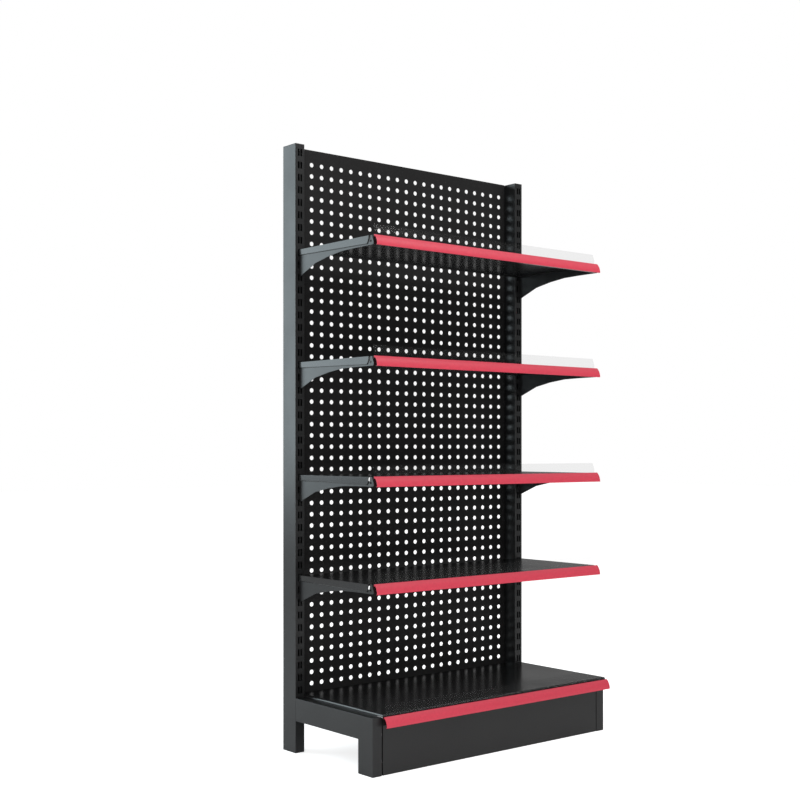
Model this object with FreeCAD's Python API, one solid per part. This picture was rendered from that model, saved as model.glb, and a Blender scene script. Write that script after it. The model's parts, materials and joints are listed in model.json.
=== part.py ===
import FreeCAD, Part
import math
import os
from FreeCAD import Vector

# Single-sided gondola shelving bay: two slotted uprights, a perforated steel back, a base with two
# legged arms, a kick plate and a deck, and four bracketed shelves, each with a price rail and a
# clear front fence. Millimetres, +Z up, front towards -Y.
#
# Every piece is drawn from one working datum: the bottom of the left upright's outer front corner,
# with X to the right and Y to the rear. save() then moves it to the part's own origin, which is on
# the floor, under the middle of the whole unit.

# Driving dimensions
BAY = 1208.0                 # upright centre to upright centre
UPRIGHT_W = 43.0
UPRIGHT_D = 90.0
UPRIGHT_H = 2435.0
TUBE_WALL = 2.0
TUBE_CORNER = 2.0
CAP_PLATE = 2.0

SLOT_PITCH = 50.0
SLOT_W = 8.0
SLOT_H = 28.0
SLOT_WEB = 4.0
TOP_SLOT_Z = 2400.0
SLOT_ROWS = 46

SHELF_ROWS = (8, 17, 26, 34)  # slot row, counted from the top, that carries each shelf
SHELF_RISE = 10.0             # shelf surface above the centre of its slot
SHELF_FRONT = -488.0

PANEL_Y = 73.0
PANEL_TOP = 2437.0
PANEL_BOTTOM = 196.0
HOLE_D = 18.0
HOLE_COLS = 23
HOLE_ROWS = 47
HOLE_PITCH_X = 49.74
HOLE_PITCH_Z = 46.12
FIRST_ROW_Z = 255.0
PANEL_ROWS = (12, 12, 12, 11)

ARM_FRONT = -507.0
ARM_TOP = 219.0
ARM_H = 90.0
LEG_D = 90.0
DECK_TOP = 229.0
DECK_RIGHT_OVERHANG = 7.5
DECK_FRONT = -510.0
DECK_REAR = 40.0
DECK_NOSE = 6.0               # how far the deck's rail carrier stands in front of its edge
DECK_EDGE_R = 9.5

SHEET = 1.0
PLATE = 2.0
RAIL_H = 39.0
RAIL_LEAN = 17.5
RAIL_T = 1.0
RAIL_BULGE = 5.0              # how far the middle of the face stands out from a flat one
RAIL_CLIP = 8.0
RAIL_LIP = 6.0
FENCE_H = 43.0
FENCE_FOOT = 16.0
FENCE_LEAN = 10.0
FENCE_T = 3.0
FENCE_TAB = 30.0              # length of each of the tabs under the fence
FENCE_LEN = 1190.0
FOOT_PAD_D = 34.0
STUD_D = 10.0
RUNNING_GAP = 0.05            # radial clearance round a turning or sliding stud

# Worked out from the above
WIDTH = BAY + UPRIGHT_W
RAIL_END_PAST_DECK = 3.0
OVERALL_W = WIDTH + DECK_RIGHT_OVERHANG + RAIL_END_PAST_DECK
RAIL_FACE_GAP = 2.0
BASE_RAIL_Y = DECK_FRONT - DECK_NOSE
OVERALL_FRONT = BASE_RAIL_Y - RAIL_FACE_GAP - RAIL_LEAN
ORIGIN = Vector(OVERALL_W / 2, (UPRIGHT_D + OVERALL_FRONT) / 2, 0)
INNER_L = UPRIGHT_W
INNER_R = WIDTH - UPRIGHT_W
SLOT_OFFSET = (SLOT_W + SLOT_WEB) / 2
SHELF_TOPS = [TOP_SLOT_Z - SLOT_PITCH * row + SHELF_RISE for row in SHELF_ROWS]


def box(x0, x1, y0, y1, z0, z1):
    return Part.makeBox(x1 - x0, y1 - y0, z1 - z0, Vector(x0, y0, z0))


def fuse(shapes):
    return shapes[0].fuse(shapes[1:]).removeSplitter()


def mirror_x(shape):
    """The same piece on the other side of the bay."""
    return shape.mirror(Vector(WIDTH / 2, 0, 0), Vector(1, 0, 0))


def cylinder_x(x0, x1, y, z, d):
    return Part.makeCylinder(d / 2, x1 - x0, Vector(x0, y, z), Vector(1, 0, 0))


def cylinder_z(x, y, z0, z1, d):
    return Part.makeCylinder(d / 2, z1 - z0, Vector(x, y, z0), Vector(0, 0, 1))


def extrude_x(points, x0, x1):
    """A closed (y, z) outline extruded along X."""
    corners = [Vector(x0, y, z) for y, z in points]
    return Part.Face(Part.makePolygon(corners + corners[:1])).extrude(Vector(x1 - x0, 0, 0))


def save(name, shape):
    placed = shape.copy()
    placed.translate(ORIGIN * -1)
    placed.exportStep("parts/" + name + ".step")
    print(name, "solids", len(placed.Solids), "valid", placed.isValid())


def slot_centres():
    return [TOP_SLOT_Z - SLOT_PITCH * row for row in range(SLOT_ROWS)]


# Uprights ---------------------------------------------------------------------------------------

SCREW_D = 4.0
SCREW_HOLE_D = 4.2
SCREW_HEAD_D = 6.0
SCREW_HEAD_H = 2.4
SCREW_LEN = 12.0
PANEL_FLANGE = 8.0
PANEL_SIDE_GAP = 0.4
PANEL_SCREW_Y = PANEL_Y + SHEET + 3.4
PANEL_SCREW_INSET = 60.0
BAR_Y = PANEL_Y + PANEL_FLANGE + 0.3
BAR_SCREW_Y = BAR_Y + 4.4
BAR_TAB = 1.5


def panel_edges():
    """Bottom and top of each stacked back panel; the seams fall midway between hole rows."""
    edges = [PANEL_BOTTOM]
    rows = 0
    for count in PANEL_ROWS[:-1]:
        rows += count
        edges.append(FIRST_ROW_Z + HOLE_PITCH_Z * (rows - 0.5))
    edges.append(PANEL_TOP)
    return list(zip(edges[:-1], edges[1:]))


BARS = {
    "crossbar_top": (2394.0, 2430.0),
    "crossbar_middle": (panel_edges()[1][1] - 8.0, panel_edges()[1][1] + 8.0),
    "crossbar_bottom": (148.0, 184.0),
}


def screw_points():
    """(y, z, thickness clamped) of every screw into an upright's inner side."""
    points = []
    for low, high in panel_edges():
        for z in (low + PANEL_SCREW_INSET, high - PANEL_SCREW_INSET):
            points.append((PANEL_SCREW_Y, z, PANEL_SIDE_GAP + SHEET))
    for low, high in BARS.values():
        points.append((BAR_SCREW_Y, (low + high) / 2, BAR_TAB))
    return points


def left_upright():
    height = UPRIGHT_H - CAP_PLATE
    tube = box(0, UPRIGHT_W, 0, UPRIGHT_D, 0, height)
    corners = [e for e in tube.Edges if abs(e.tangentAt(e.FirstParameter).z) > 0.99]
    tube = tube.makeFillet(TUBE_CORNER, corners)
    cuts = [box(TUBE_WALL, UPRIGHT_W - TUBE_WALL, TUBE_WALL, UPRIGHT_D - TUBE_WALL, -1, height + 1)]
    for z in slot_centres():
        for side in (-1, 1):
            x = UPRIGHT_W / 2 + side * SLOT_OFFSET
            cuts.append(box(x - SLOT_W / 2, x + SLOT_W / 2, -1, TUBE_WALL + 1,
                            z - SLOT_H / 2, z + SLOT_H / 2))
    for y, z, _ in screw_points():
        cuts.append(cylinder_x(UPRIGHT_W - TUBE_WALL - 1, UPRIGHT_W + 1, y, z, SCREW_HOLE_D))
    return tube.cut(Part.makeCompound(cuts))


def left_cap():
    """Push-in plastic cap that closes the top of the tube."""
    plug = 12.0
    fit = 0.1
    wall = 2.0
    x0 = TUBE_WALL + fit
    x1 = UPRIGHT_W - TUBE_WALL - fit
    y0 = TUBE_WALL + fit
    y1 = UPRIGHT_D - TUBE_WALL - fit
    top = box(0, UPRIGHT_W, 0, UPRIGHT_D, UPRIGHT_H - CAP_PLATE, UPRIGHT_H)
    rim = [e for e in top.Edges if abs(e.tangentAt(e.FirstParameter).z) > 0.99]
    top = top.makeFillet(TUBE_CORNER, rim)
    under = UPRIGHT_H - CAP_PLATE
    skirt_wall = box(x0, x1, y0, y1, under - plug, under)
    hollow = box(x0 + wall, x1 - wall, y0 + wall, y1 - wall, under - plug - 1, under)
    return fuse([top, skirt_wall.cut(hollow)])


# Back -------------------------------------------------------------------------------------------

def back_panel(low, high):
    """A perforated sheet with all four edges folded back."""
    x0 = INNER_L + PANEL_SIDE_GAP
    x1 = INNER_R - PANEL_SIDE_GAP
    seam = 0.2
    z0 = low + seam
    z1 = high - seam
    rim = [Vector(x, PANEL_Y, z) for x, z in ((x0, z0), (x1, z0), (x1, z1), (x0, z1))]
    wires = [Part.makePolygon(rim + rim[:1])]
    first_x = WIDTH / 2 - HOLE_PITCH_X * (HOLE_COLS - 1) / 2
    for row in range(HOLE_ROWS):
        z = FIRST_ROW_Z + HOLE_PITCH_Z * row
        if low < z < high:
            for col in range(HOLE_COLS):
                centre = Vector(first_x + HOLE_PITCH_X * col, PANEL_Y, z)
                wires.append(Part.Wire(Part.makeCircle(HOLE_D / 2, centre, Vector(0, 1, 0))))
    sheet = Part.makeFace(wires, "Part::FaceMakerBullseye").extrude(Vector(0, SHEET, 0))
    y0 = PANEL_Y
    y1 = PANEL_Y + PANEL_FLANGE
    inside = box(x0 + SHEET, x1 - SHEET, y0 - 1, y1 + 1, z0 + SHEET, z1 - SHEET)
    panel = fuse([sheet, box(x0, x1, y0, y1, z0, z1).cut(inside)])
    holes = [cylinder_x(x - 2, x + 2, PANEL_SCREW_Y, z, SCREW_HOLE_D)
             for x in (x0, x1) for z in (low + PANEL_SCREW_INSET, high - PANEL_SCREW_INSET)]
    return panel.cut(Part.makeCompound(holes))


def crossbar(low, high):
    """Channel open to the rear, with a screw tab folded across each end."""
    y1 = UPRIGHT_D - 0.2
    web = 1.2
    bar = box(INNER_L, INNER_R, BAR_Y, y1, low, high)
    bar = bar.cut(box(INNER_L + BAR_TAB, INNER_R - BAR_TAB, BAR_Y + web, y1 + 1, low + web, high - web))
    centre = (low + high) / 2
    ends = [cylinder_x(x - 3, x + 3, BAR_SCREW_Y, centre, SCREW_HOLE_D) for x in (INNER_L, INNER_R)]
    return bar.cut(Part.makeCompound(ends))


def frame_screws():
    screws = []
    for y, z, clamped in screw_points():
        seat = INNER_L + clamped
        shank = cylinder_x(seat - SCREW_LEN, seat, y, z, SCREW_D)
        head = cylinder_x(seat, seat + SCREW_HEAD_H, y, z, SCREW_HEAD_D)
        rim = [e for e in head.Edges if abs(e.BoundBox.XMin - seat - SCREW_HEAD_H) < 0.01 and e.Closed]
        screw = fuse([shank, head.makeFillet(0.9, rim)])
        screws.append(screw)
        screws.append(mirror_x(screw))
    return Part.makeCompound(screws)


# Base -------------------------------------------------------------------------------------------

HOOK_NECK = 15.0
HOOK_DROP = 12.0
HOOK_T = 4.0
HOOK_GAP = 0.3
ARM_CORNER = 1.5
LEDGE_FRONT = -470.0
LEDGE_REAR = -3.0
LEDGE_W = 15.0
ARM_SLOTS = (200.0, 150.0)    # centres of the upright's slots that take the arm's hooks
PIN_D = 6.0
PIN_Y = -497.0
PIN_HEIGHTS = (60.0, 160.0)
PIN_OUT = 10.0


def hooks(x0, x1, slot_zs, y_root):
    """Hooks that pass through the front wall of an upright and drop behind it."""
    pieces = []
    for z in slot_zs:
        foot = z - SLOT_H / 2
        inside = TUBE_WALL + HOOK_GAP
        pieces.append(box(x0, x1, y_root, inside + HOOK_T, foot, foot + HOOK_NECK))
        pieces.append(box(x0, x1, inside, inside + HOOK_T, foot - HOOK_DROP, foot + HOOK_NECK))
    return pieces


def front_and_top_edges(arm):
    """The arm's long top edges and the edges round the front of its leg."""
    edges = []
    for edge in arm.Edges:
        b = edge.BoundBox
        on_top = b.ZMin > ARM_TOP - 0.01 and b.YMax - b.YMin > 1
        at_front = b.YMax < ARM_FRONT + 0.01 and b.ZMax > 1
        if on_top or at_front:
            edges.append(edge)
    return edges


def left_arm():
    """Box arm hooked to the upright, with its front leg; a ledge on its inner side carries the deck."""
    rear = -0.5
    bottom = ARM_TOP - ARM_H
    leg_back = ARM_FRONT + LEG_D
    t = TUBE_WALL
    outer = fuse([box(0, UPRIGHT_W, ARM_FRONT, rear, bottom, ARM_TOP),
                  box(0, UPRIGHT_W, ARM_FRONT, leg_back, 0, ARM_TOP)])
    outer = outer.makeFillet(ARM_CORNER, front_and_top_edges(outer))
    inner = fuse([box(t, UPRIGHT_W - t, ARM_FRONT + t, rear - t, bottom + t, ARM_TOP - t),
                  box(t, UPRIGHT_W - t, ARM_FRONT + t, leg_back - t, -1, ARM_TOP - t)])
    ledge = fuse([box(UPRIGHT_W, UPRIGHT_W + LEDGE_W, LEDGE_FRONT, LEDGE_REAR, ARM_TOP - PLATE, ARM_TOP),
                  box(UPRIGHT_W, UPRIGHT_W + PLATE, LEDGE_FRONT, LEDGE_REAR, ARM_TOP - LEDGE_W, ARM_TOP)])
    parts = [outer.cut(inner), ledge]
    for side in (-1, 1):
        x = UPRIGHT_W / 2 + side * SLOT_OFFSET
        parts += hooks(x - 1.5, x + 1.5, ARM_SLOTS, rear - t)
    arm = fuse(parts)
    pin_holes = [cylinder_x(UPRIGHT_W - t - 1, UPRIGHT_W + 1, PIN_Y, z, PIN_D) for z in PIN_HEIGHTS]
    return arm.cut(Part.makeCompound(pin_holes))


def kick_pins():
    """Studs on the inner sides of the two front legs that the kick plate hangs on."""
    pins = []
    for z in PIN_HEIGHTS:
        pin = cylinder_x(UPRIGHT_W - TUBE_WALL, UPRIGHT_W + PIN_OUT, PIN_Y, z, PIN_D)
        pins.append(pin)
        pins.append(mirror_x(pin))
    return Part.makeCompound(pins)


def kick_plate():
    """Folded plate between the front legs; L-shaped notches in its end folds hang on the pins."""
    gap = 4.5
    thick = 1.2
    fold = 20.0
    low = 1.0
    high = 212.0
    x0 = INNER_L + gap
    x1 = INNER_R - gap
    y0 = ARM_FRONT
    plate = box(x0, x1, y0, y0 + fold, low, high)
    plate = plate.cut(box(x0 + thick, x1 - thick, y0 + thick, y0 + fold + 1, low + thick, high - thick))
    side = PIN_D / 2 + 0.3
    cuts = []
    for z in PIN_HEIGHTS:
        for x in (x0, x1):
            cuts.append(box(x - 3, x + 3, PIN_Y - side, PIN_Y + side, z - 10 - side, z + PIN_D / 2))
            cuts.append(box(x - 3, x + 3, PIN_Y - side, y0 + fold + 1, z - 10 - side, z - 10 + side))
    return plate.cut(Part.makeCompound(cuts))


def fence_slots(x0, y, z):
    """Slots in a shelf's surface for the fence's tabs."""
    half = FENCE_TAB / 2 + 1
    return Part.makeCompound([box(x - half, x + half, y - 0.3, y + FENCE_T + 0.3, z - 3, z + 1)
                              for x in fence_tab_centres(x0)])


def fence_tab_centres(x0):
    return [x0 + FENCE_LEN * share for share in (0.1, 0.366, 0.634, 0.9)]


DECK_L = INNER_L + 0.5
DECK_R = WIDTH + DECK_RIGHT_OVERHANG
DECK_FENCE_X = DECK_R - 8.5 - FENCE_LEN
DECK_FENCE_Y = BASE_RAIL_Y + SHEET + 0.7
DECK_STEP = ARM_TOP           # ledge in front of the deck that the base fence stands on
DECK_CARRIER_LOW = 190.0      # bottom of the lip that the base rail clips over
DECK_REAR_FOLD = 12.0
DECK_SIDE_REAR = -1.0         # the deck stops here in front of an upright
DECK_RIB_X = INNER_R - 8      # the rib under the deck that stands on the right arm's ledge


def rounding(x_edge, inward):
    """The bend along one side of the deck, and the sharp corner outside it that is cut away."""
    length = DECK_SIDE_REAR - DECK_FRONT
    x = x_edge + inward * DECK_EDGE_R
    z = DECK_TOP - DECK_EDGE_R
    rod, core = [Part.makeCylinder(radius, length, Vector(x, DECK_FRONT, z), Vector(0, 1, 0))
                 for radius in (DECK_EDGE_R, DECK_EDGE_R - SHEET)]
    corner = box(min(x, x_edge), max(x, x_edge), DECK_FRONT, DECK_SIDE_REAR, z, DECK_TOP)
    return corner.common(rod).cut(core), corner.cut(rod)


def base_deck():
    """Deck pan: it rests on the two arm ledges and reaches back between the uprights."""
    under = DECK_TOP - SHEET
    front = DECK_FRONT
    step = DECK_STEP - SHEET
    clear = 0.5
    left_ring, left_waste = rounding(DECK_L, 1)
    right_ring, right_waste = rounding(DECK_R, -1)
    parts = [
        box(DECK_L, DECK_R, front, DECK_SIDE_REAR, under, DECK_TOP),
        box(DECK_L, INNER_R - clear, DECK_SIDE_REAR, DECK_REAR, under, DECK_TOP),
        box(DECK_L, INNER_R - clear, DECK_REAR - SHEET, DECK_REAR, under - DECK_REAR_FOLD, DECK_TOP),
        box(DECK_L, DECK_L + SHEET, front, DECK_REAR, ARM_TOP, DECK_TOP),
        box(DECK_R - SHEET, DECK_R, front, DECK_SIDE_REAR, ARM_TOP, DECK_TOP),
        box(DECK_RIB_X, DECK_RIB_X + PLATE, LEDGE_FRONT, LEDGE_REAR, ARM_TOP, DECK_TOP),
        box(DECK_L, DECK_R, front, front + SHEET, step, DECK_TOP),
        box(DECK_L, DECK_R, BASE_RAIL_Y, front + SHEET, step, DECK_STEP),
        box(DECK_L, DECK_R, BASE_RAIL_Y, BASE_RAIL_Y + SHEET, DECK_CARRIER_LOW, DECK_STEP),
        left_ring,
        right_ring,
    ]
    tabs = fence_slots(DECK_FENCE_X, DECK_FENCE_Y, DECK_STEP)
    return fuse(parts).cut(Part.makeCompound([left_waste, right_waste, tabs]))


def deck_stiffener():
    """Hat channel welded under the deck."""
    high = DECK_TOP - SHEET
    t = 1.2
    y = -245.0
    half = 22.0
    drop = 22.0
    brim = 12.0
    outline = [(y - half - brim, high), (y - half - brim, high - t), (y - half, high - t),
               (y - half, high - drop), (y + half, high - drop), (y + half, high - t),
               (y + half + brim, high - t), (y + half + brim, high), (y + half - t, high),
               (y + half - t, high - drop + t), (y - half + t, high - drop + t), (y - half + t, high)]
    return extrude_x(outline, DECK_L + 20, INNER_R - 20)


# Shelves ----------------------------------------------------------------------------------------

BRACKET_X = 17.0              # outer side of the left bracket's plate
SKIRT_TOP_X = 13.0
SKIRT_HEM_X = 14.2
SKIRT_HEM_IN = 1.5
SKIRT_HEM_H = 2.2
SKIRT_REAR_H = 20.8
SKIRT_FRONT_H = 28.8
SKIRT_FRONT_END = -451.0
SKIRT_FRONT_CURVE = 3.0       # how far back of the notch the front end's curve is at half its depth
NOSE_START = -464.0           # the shelf is notched here for the bracket's nose
NOSE_SLOT = 26.0              # depth of the slot behind the nose
NOSE_TIP = -494.0
FLANGE_FRONT = -445.0
NOSE_HOLE = (-473.0, 21.5)    # y, and depth below the shelf's surface
NOSE_HOLE_D = 9.0
NOSE_ROUND = 8.0
SHELF_FENCE_X = 26.0
SHELF_FENCE_Y = SHELF_FRONT + SHEET + 0.7
SHELF_FRONT_FOLD = 34.0
SHELF_LIP = 12.0
SHELF_REAR_FOLD = 8.0


def skirt(top):
    """Folded side of the shelf, deeper at the front, leaning in and ending in a narrow turned-in hem."""
    slope = (SKIRT_HEM_X - SKIRT_TOP_X) / SKIRT_FRONT_H

    def at(y, depth):
        return Vector(SKIRT_TOP_X + slope * depth, y, top - depth)

    rear_low = at(-1.0, SKIRT_REAR_H)
    front_low = at(SKIRT_FRONT_END, SKIRT_FRONT_H)
    front_high = at(NOSE_START, 0)
    bend = Part.Arc(front_low, at(NOSE_START + SKIRT_FRONT_CURVE, SKIRT_FRONT_H / 2), front_high).toShape()
    edges = Part.makePolygon([front_high, at(-1.0, 0), rear_low, front_low]).Edges + [bend]
    face = Part.Face(Part.Wire(edges))
    turn = Vector(SKIRT_HEM_IN, 0, -SKIRT_HEM_H)
    hem = Part.Face(Part.makePolygon([rear_low, front_low, front_low + turn, rear_low + turn, rear_low]))
    sheet = Vector(SHEET, 0, 0)
    return face.extrude(sheet).fuse(hem.extrude(sheet))


def shelf(top):
    under = top - SHEET
    clear = 1.0
    nose_x = BRACKET_X + PLATE + clear
    left = skirt(top)
    parts = [
        box(SKIRT_TOP_X, WIDTH - SKIRT_TOP_X, NOSE_START, -1, under, top),
        box(nose_x, WIDTH - nose_x, SHELF_FRONT, NOSE_START + 1, under, top),
        box(nose_x, WIDTH - nose_x, -2, -1, top - SHELF_REAR_FOLD, top),
        box(nose_x, WIDTH - nose_x, SHELF_FRONT, SHELF_FRONT + SHEET, top - SHELF_FRONT_FOLD, top),
        box(nose_x, WIDTH - nose_x, SHELF_FRONT, SHELF_FRONT + SHELF_LIP,
            top - SHELF_FRONT_FOLD, top - SHELF_FRONT_FOLD + SHEET),
        left,
        mirror_x(left),
    ]
    return fuse(parts).cut(fence_slots(SHELF_FENCE_X, SHELF_FENCE_Y, top))


def left_bracket(top):
    """Tapered plate with two hooks, a support flange along its top, and a nose behind a slot at its tip."""
    rest = top - SHEET
    x0 = BRACKET_X
    x1 = BRACKET_X + PLATE
    outline = [(-HOOK_GAP, rest), (-HOOK_GAP, top - 108), (-3, top - 108), (-113, top - 65),
               (-200, top - 48.5), (-290, top - 38), (-380, top - 36), (NOSE_TIP, top - 35.5),
               (-480, top), (-468, top), (-466, top - 14), (-459, top - NOSE_SLOT),
               (-449, top - NOSE_SLOT), (-455, rest)]
    plate = extrude_x(outline, x0, x1)
    tip = [e for e in plate.Edges if e.BoundBox.YMax < NOSE_TIP + 0.01]
    plate = plate.makeFillet(NOSE_ROUND, tip)
    flange = box(x0, x1 + 12, FLANGE_FRONT, -6, rest - PLATE, rest)
    slots = (top - SHELF_RISE, top - SHELF_RISE - SLOT_PITCH)
    bracket = fuse([plate, flange] + hooks(x0, x1, slots, -4.0))
    hole_y, hole_depth = NOSE_HOLE
    return bracket.cut(cylinder_x(x0 - 1, x1 + 1, hole_y, top - hole_depth, NOSE_HOLE_D))


def price_rail(x0, x1, y, top):
    """Ticket rail bent from one strip: a clip down the shelf's edge, a convex face and a lip below."""
    high = top + 2
    low = high - RAIL_H
    face = y - RAIL_FACE_GAP
    toe = face - RAIL_LEAN
    inner_high = high - RAIL_T
    inner_low = low + RAIL_T
    back = y - RAIL_T
    heel = toe + RAIL_T
    middle = ((face + toe) / 2 - RAIL_BULGE, (high + low) / 2)
    across = RAIL_T * math.hypot(1, RAIL_LEAN / RAIL_H)
    inner_middle = (middle[0] + across, middle[1])

    def at(point):
        return Vector(x0, *point)

    def line(points):
        return Part.makePolygon([at(point) for point in points]).Edges

    edges = line([(y, high - RAIL_CLIP), (y, high), (face, high)])
    edges += [Part.Arc(at((face, high)), at(middle), at((toe, low))).toShape()]
    edges += line([(toe, low), (toe + RAIL_LIP, low), (toe + RAIL_LIP, inner_low), (heel, inner_low)])
    edges += [Part.Arc(at((heel, inner_low)), at(inner_middle), at((back, inner_high))).toShape()]
    edges += line([(back, inner_high), (back, high - RAIL_CLIP), (y, high - RAIL_CLIP)])
    return Part.Face(Part.Wire(edges)).extrude(Vector(x1 - x0, 0, 0))


def fence(x0, y, top):
    """Clear strip: tabs below, an upright foot, then a face that leans back."""
    bend = top + FENCE_FOOT
    rim = y + FENCE_LEAN
    outline = [(y, top), (y, bend), (rim, top + FENCE_H), (rim + FENCE_T, top + FENCE_H),
               (y + FENCE_T, bend), (y + FENCE_T, top)]
    strip = extrude_x(outline, x0, x0 + FENCE_LEN)
    half = FENCE_TAB / 2
    tabs = [box(x - half, x + half, y, y + FENCE_T, top - 5, top) for x in fence_tab_centres(x0)]
    return fuse([strip] + tabs)


# Levelling feet ---------------------------------------------------------------------------------

NUT_PLATE_Z = (30.0, 38.0)
REAR_FOOT_Y = UPRIGHT_D / 2
FRONT_FOOT_Y = ARM_FRONT + LEG_D / 2
FEET = {
    "rear_left": (UPRIGHT_W / 2, REAR_FOOT_Y),
    "rear_right": (WIDTH - UPRIGHT_W / 2, REAR_FOOT_Y),
    "front_left": (UPRIGHT_W / 2, FRONT_FOOT_Y),
    "front_right": (WIDTH - UPRIGHT_W / 2, FRONT_FOOT_Y),
}


def foot_pad(x, y):
    pad = cylinder_z(x, y, 0, 6, FOOT_PAD_D)
    rim = [e for e in pad.Edges if e.Closed and abs(e.BoundBox.ZMin - 6) < 0.01]
    pad = pad.makeFillet(1.5, rim)
    return pad.cut(cylinder_z(x, y, 2, 7, STUD_D + 2 * RUNNING_GAP))


def foot_stud(x, y):
    """Levelling screw with a hexagon for the spanner."""
    flats = 14.0
    reach = flats / 2 / math.cos(math.pi / 6)
    corners = []
    for k in range(6):
        turn = math.radians(60 * k)
        corners.append(Vector(x + reach * math.cos(turn), y + reach * math.sin(turn), 8))
    hexagon = Part.Face(Part.makePolygon(corners + corners[:1])).extrude(Vector(0, 0, 6))
    return fuse([cylinder_z(x, y, 2.1, 70, STUD_D), hexagon])


def nut_plates():
    plates = []
    for x, y in FEET.values():
        half_x = UPRIGHT_W / 2 - TUBE_WALL
        half_y = LEG_D / 2 - TUBE_WALL
        plate = box(x - half_x, x + half_x, y - half_y, y + half_y, *NUT_PLATE_Z)
        plates.append(plate.cut(cylinder_z(x, y, 0, 60, STUD_D + 2 * RUNNING_GAP)))
    return Part.makeCompound(plates)


# Write every piece ------------------------------------------------------------------------------

def main():
    os.makedirs("parts", exist_ok=True)
    for name, piece in (("upright", left_upright()), ("top_cap", left_cap()), ("base_arm", left_arm())):
        save(name + "_left", piece)
        save(name + "_right", mirror_x(piece))
    for number, (low, high) in enumerate(panel_edges(), 1):
        save("back_panel_%d" % number, back_panel(low, high))
    for name, (low, high) in BARS.items():
        save(name, crossbar(low, high))
    save("frame_screws", frame_screws())
    save("kick_pins", kick_pins())
    save("kick_plate", kick_plate())
    save("base_deck", base_deck())
    save("deck_stiffener", deck_stiffener())
    rail_x = (DECK_L + 1.5, OVERALL_W)
    save("price_rail_base", price_rail(*rail_x, BASE_RAIL_Y, ARM_TOP - 1.5))
    save("fence_base", fence(DECK_FENCE_X, DECK_FENCE_Y, DECK_STEP))
    rail_x = (BRACKET_X + PLATE + 1.5, WIDTH - BRACKET_X - PLATE - 1.5)
    for number, top in enumerate(SHELF_TOPS, 1):
        save("shelf_%d" % number, shelf(top))
        bracket = left_bracket(top)
        save("bracket_left_%d" % number, bracket)
        save("bracket_right_%d" % number, mirror_x(bracket))
        save("price_rail_%d" % number, price_rail(*rail_x, SHELF_FRONT, top))
        save("fence_%d" % number, fence(SHELF_FENCE_X, SHELF_FENCE_Y, top))
    save("foot_nut_plates", nut_plates())
    for name, (x, y) in FEET.items():
        save("foot_pad_" + name, foot_pad(x, y))
        save("foot_stud_" + name, foot_stud(x, y))


main()
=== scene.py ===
import json
import math
import bpy
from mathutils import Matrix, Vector


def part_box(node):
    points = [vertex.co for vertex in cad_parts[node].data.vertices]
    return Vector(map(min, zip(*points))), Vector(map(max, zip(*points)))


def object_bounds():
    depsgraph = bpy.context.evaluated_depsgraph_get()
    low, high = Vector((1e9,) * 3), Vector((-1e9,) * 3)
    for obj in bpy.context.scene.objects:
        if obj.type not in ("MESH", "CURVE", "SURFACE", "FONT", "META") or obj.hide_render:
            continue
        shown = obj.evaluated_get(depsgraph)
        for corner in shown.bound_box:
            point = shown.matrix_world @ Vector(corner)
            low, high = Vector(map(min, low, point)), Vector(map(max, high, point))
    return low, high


# Looks for a gondola shelving bay. Metres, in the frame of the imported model: +Z up, front towards -Y.

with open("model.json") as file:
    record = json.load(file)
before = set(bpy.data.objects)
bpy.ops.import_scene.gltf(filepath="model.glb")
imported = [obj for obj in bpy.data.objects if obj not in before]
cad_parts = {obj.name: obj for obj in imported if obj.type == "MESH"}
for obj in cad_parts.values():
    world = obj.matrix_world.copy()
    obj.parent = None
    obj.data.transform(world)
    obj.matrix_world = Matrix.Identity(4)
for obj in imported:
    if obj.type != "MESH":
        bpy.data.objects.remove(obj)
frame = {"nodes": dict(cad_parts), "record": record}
cad_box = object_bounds()
low, high = (Vector(corner) for corner in cad_box)

# Camera: level, at the height of the middle of the unit, to the left of its front
UPRIGHT_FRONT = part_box("upright_left")[0]
CAMERA_TO_LEFT = 2.889        # from the left upright's outer front corner, along X
CAMERA_TO_FRONT = 4.298       # and from the uprights' front faces, along Y
CAMERA_HEIGHT = 1.220
CAMERA_YAW = 40.59
LENS_MM = 58.03
SHIFT = (-0.0583, 0.0594)

CHARCOAL = (0.0105, 0.0108, 0.0112, 1)
PANEL_BLACK = (0.0205, 0.0200, 0.0202, 1)
RED = (0.72, 0.055, 0.095, 1)
CLEAR_TINT = (0.035, 0.036, 0.036, 1)
MOULDED_BLACK = (0.018, 0.018, 0.018, 1)
ZINC = (0.55, 0.56, 0.57, 1)
FLOOR_WHITE = (0.93, 0.93, 0.93, 1)
FLOOR_GLOW = 0.80             # a white floor, as under a cut-out product picture
FLOOR_GLOW_ONTO_UNIT = 0.16   # and how much of that glow lights the unit

BACKDROP = 1.0                # what the camera sees behind the unit
ROOM = 0.28                   # what lights and is mirrored in it

NOISE_RANGE = (0.3, 0.7)      # the part of a noise texture's values that is put to use
ORANGE_PEEL = 480.0           # noise scale of the powder coat's texture
PEEL_DEPTH = 0.00004
MOULD_GRAIN_STRENGTH = 0.2


def new_material(name, colour, roughness, metallic=0.0):
    """A Principled material; returns it with its node tree and shader."""
    material = bpy.data.materials.new(name)
    material.use_nodes = True
    tree = material.node_tree
    shader = tree.nodes["Principled BSDF"]
    shader.inputs["Base Color"].default_value = colour
    shader.inputs["Roughness"].default_value = roughness
    shader.inputs["Metallic"].default_value = metallic
    return material, tree, shader


def noise(tree, scale, detail=2.0):
    """Noise in the object's own metres, so its grain has a real size."""
    place = tree.nodes.new("ShaderNodeTexCoord")
    texture = tree.nodes.new("ShaderNodeTexNoise")
    texture.inputs["Scale"].default_value = scale
    texture.inputs["Detail"].default_value = detail
    tree.links.new(place.outputs["Object"], texture.inputs["Vector"])
    return texture.outputs["Fac"]


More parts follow.
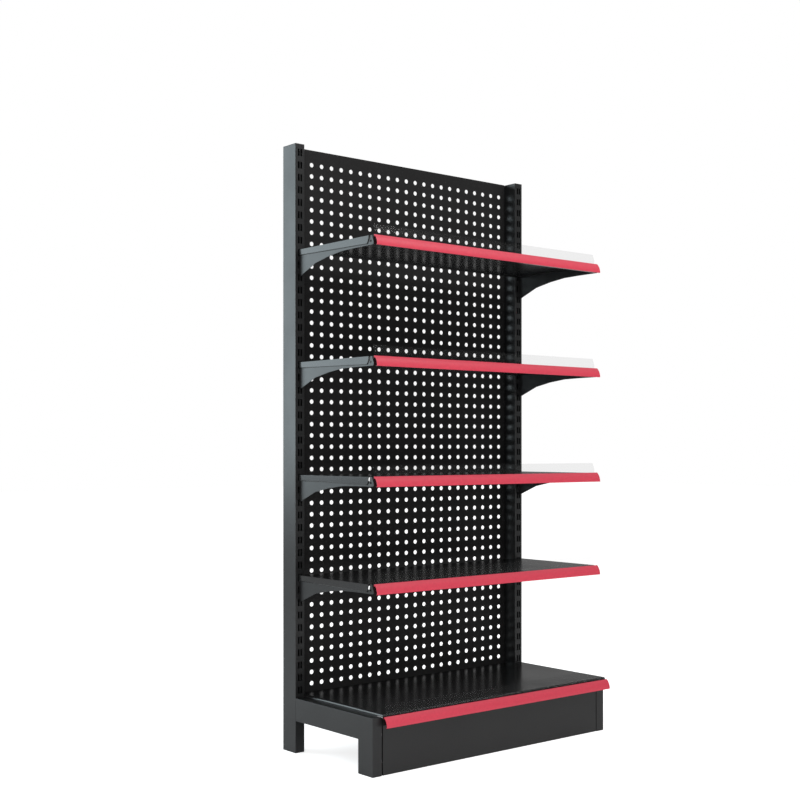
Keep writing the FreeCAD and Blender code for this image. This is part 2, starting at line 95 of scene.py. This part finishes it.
def spread(tree, value, lowest, highest):
    """Maps a noise onto a range."""
    span = tree.nodes.new("ShaderNodeMapRange")
    span.inputs["From Min"].default_value = NOISE_RANGE[0]
    span.inputs["From Max"].default_value = NOISE_RANGE[1]
    span.inputs["To Min"].default_value = lowest
    span.inputs["To Max"].default_value = highest
    tree.links.new(value, span.inputs["Value"])
    return span.outputs["Result"]


def shade(tree, value, colour, change):
    """The colour, made darker and lighter by a share of itself."""
    ramp = tree.nodes.new("ShaderNodeValToRGB")
    for element, place, factor in zip(ramp.color_ramp.elements, NOISE_RANGE, (1 - change, 1 + change)):
        element.position = place
        element.color = [c * factor for c in colour[:3]] + [1]
    tree.links.new(value, ramp.inputs["Fac"])
    return ramp.outputs["Color"]


def bump(tree, shader, value, strength, depth):
    node = tree.nodes.new("ShaderNodeBump")
    node.inputs["Strength"].default_value = strength
    node.inputs["Distance"].default_value = depth
    tree.links.new(value, node.inputs["Height"])
    tree.links.new(node.outputs["Normal"], shader.inputs["Normal"])


def by_view(tree, seen, elsewhere):
    """One value for what the camera sees, and another for what lights the unit or is mirrored in it."""
    ray = tree.nodes.new("ShaderNodeLightPath")
    level = tree.nodes.new("ShaderNodeMapRange")
    level.inputs["To Min"].default_value = elsewhere
    level.inputs["To Max"].default_value = seen
    tree.links.new(ray.outputs["Is Camera Ray"], level.inputs["Value"])
    return level.outputs["Result"]


def powder_coat(name, colour, roughness, gloss_level=0.5, peel=0.08):
    """Baked powder paint: orange peel about 2 mm across, and slow changes in gloss."""
    material, tree, shader = new_material(name, colour, roughness)
    shader.inputs["Specular IOR Level"].default_value = gloss_level
    gloss = spread(tree, noise(tree, 6.0), roughness - 0.03, roughness + 0.04)
    tree.links.new(gloss, shader.inputs["Roughness"])
    tree.links.new(shade(tree, noise(tree, 350.0, 3.0), colour, 0.12), shader.inputs["Base Color"])
    bump(tree, shader, noise(tree, ORANGE_PEEL, 2.0), peel, PEEL_DEPTH)
    return material


def moulded(name, colour, roughness, grain, depth):
    """Moulded plastic with a fine grain."""
    material, tree, shader = new_material(name, colour, roughness)
    gloss = spread(tree, noise(tree, 14.0), roughness - 0.04, roughness + 0.04)
    tree.links.new(gloss, shader.inputs["Roughness"])
    tree.links.new(shade(tree, noise(tree, 90.0, 3.0), colour, 0.04), shader.inputs["Base Color"])
    bump(tree, shader, noise(tree, grain, 2.0), MOULD_GRAIN_STRENGTH, depth)
    return material


def clear_plastic():
    """Clear sheet: almost all light goes straight through, and its gloss still shows."""
    material, tree, shader = new_material("clear_sheet", CLEAR_TINT, 0.12)
    shader.inputs["Alpha"].default_value = 0.08
    tree.links.new(spread(tree, noise(tree, 20.0), 0.09, 0.16), shader.inputs["Roughness"])
    bump(tree, shader, noise(tree, 25.0), 0.04, 0.0002)
    return material


def zinc_plate():
    material, tree, shader = new_material("zinc_plate", ZINC, 0.35, 1.0)
    tree.links.new(spread(tree, noise(tree, 180.0, 3.0), 0.28, 0.45), shader.inputs["Roughness"])
    bump(tree, shader, noise(tree, 700.0), 0.15, 0.0001)
    return material


def dress_frame():
    """Gives every CAD piece the finish of its slot in the record."""
    finishes = {
        "charcoal_steel": powder_coat("charcoal_powder_coat", CHARCOAL, 0.36),
        "charcoal_shelf": powder_coat("shelf_powder_coat", CHARCOAL, 0.23, peel=0.04),
        "black_panel": powder_coat("panel_powder_coat", PANEL_BLACK, 0.45, 0.10),
        "red_plastic": moulded("red_rail_plastic", RED, 0.45, 900.0, 0.00004),
        "clear_plastic": clear_plastic(),
        "black_plastic": moulded("black_moulding", MOULDED_BLACK, 0.55, 1400.0, 0.0001),
        "zinc_steel": zinc_plate(),
    }
    slots = {part["node"]: part["material_slot"] for part in frame["record"]["subparts"]}
    for name, node in frame["nodes"].items():
        node.data.materials.clear()
        node.data.materials.append(finishes[slots[name]])


def floor():
    bpy.ops.mesh.primitive_plane_add(size=60, location=(0, 0, low.z))
    ground = bpy.context.object
    ground.name = "studio_floor"
    material, tree, shader = new_material("floor_paint", FLOOR_WHITE, 0.8)
    shader.inputs["Emission Color"].default_value = FLOOR_WHITE
    tree.links.new(by_view(tree, FLOOR_GLOW, FLOOR_GLOW_ONTO_UNIT), shader.inputs["Emission Strength"])
    bump(tree, shader, noise(tree, 40.0), 0.05, 0.0005)
    ground.data.materials.append(material)


def softbox(name, place, target, size, radiance, tint=(1, 1, 1)):
    """A rectangular light of even brightness that the camera can't see."""
    width, height = size
    light = bpy.data.lights.new(name, "AREA")
    light.shape = "RECTANGLE"
    light.size = width
    light.size_y = height
    light.energy = radiance * math.pi * width * height
    light.color = tint
    holder = bpy.data.objects.new(name, light)
    bpy.context.collection.objects.link(holder)
    holder.location = place
    holder.rotation_euler = (Vector(target) - Vector(place)).to_track_quat("-Z", "Y").to_euler()
    holder.visible_camera = False


def skylight(strength, spread_angle):
    """Broad light from straight above, even over the whole floor."""
    light = bpy.data.lights.new("skylight", "SUN")
    light.energy = strength
    light.angle = math.radians(spread_angle)
    holder = bpy.data.objects.new("skylight", light)
    bpy.context.collection.objects.link(holder)


def room():
    """A white surround that lights the unit only dimly."""
    world = bpy.data.worlds.new("studio_world")
    world.use_nodes = True
    tree = world.node_tree
    background = tree.nodes["Background"]
    background.inputs["Color"].default_value = (1, 1, 1, 1)
    tree.links.new(by_view(tree, BACKDROP, ROOM), background.inputs["Strength"])
    bpy.context.scene.world = world
    bpy.context.scene.view_settings.view_transform = "Standard"


def studio():
    room()
    tall = high.z
    skylight(0.5, 120)
    softbox("left_wall", (-2.7, 3.0, 0.97 * tall), (low.x, 0, 0.85 * tall), (2.6, 2.9), 3.6,
            (0.80, 0.94, 1.0))
    softbox("front_top", (0.5, -2.4, 1.9 * tall), (0, 0, 0.8 * tall), (3.0, 1.6), 4.4)
    softbox("front_fill", (-3.4, -4.6, 0.5 * tall), (0, 0, 0.4 * tall), (2.4, 2.4), 4.2)


def camera():
    lens = bpy.data.cameras.new("camera")
    lens.sensor_width = 36
    lens.lens = LENS_MM
    lens.shift_x, lens.shift_y = SHIFT
    holder = bpy.data.objects.new("camera", lens)
    corner_x, corner_y = UPRIGHT_FRONT[0], UPRIGHT_FRONT[1]
    holder.location = (corner_x - CAMERA_TO_LEFT, corner_y - CAMERA_TO_FRONT, CAMERA_HEIGHT)
    holder.rotation_euler = (math.pi / 2, 0, -math.radians(CAMERA_YAW))
    bpy.context.collection.objects.link(holder)
    bpy.context.scene.camera = holder


dress_frame()
floor()
studio()
camera()

bpy.context.view_layer.update()
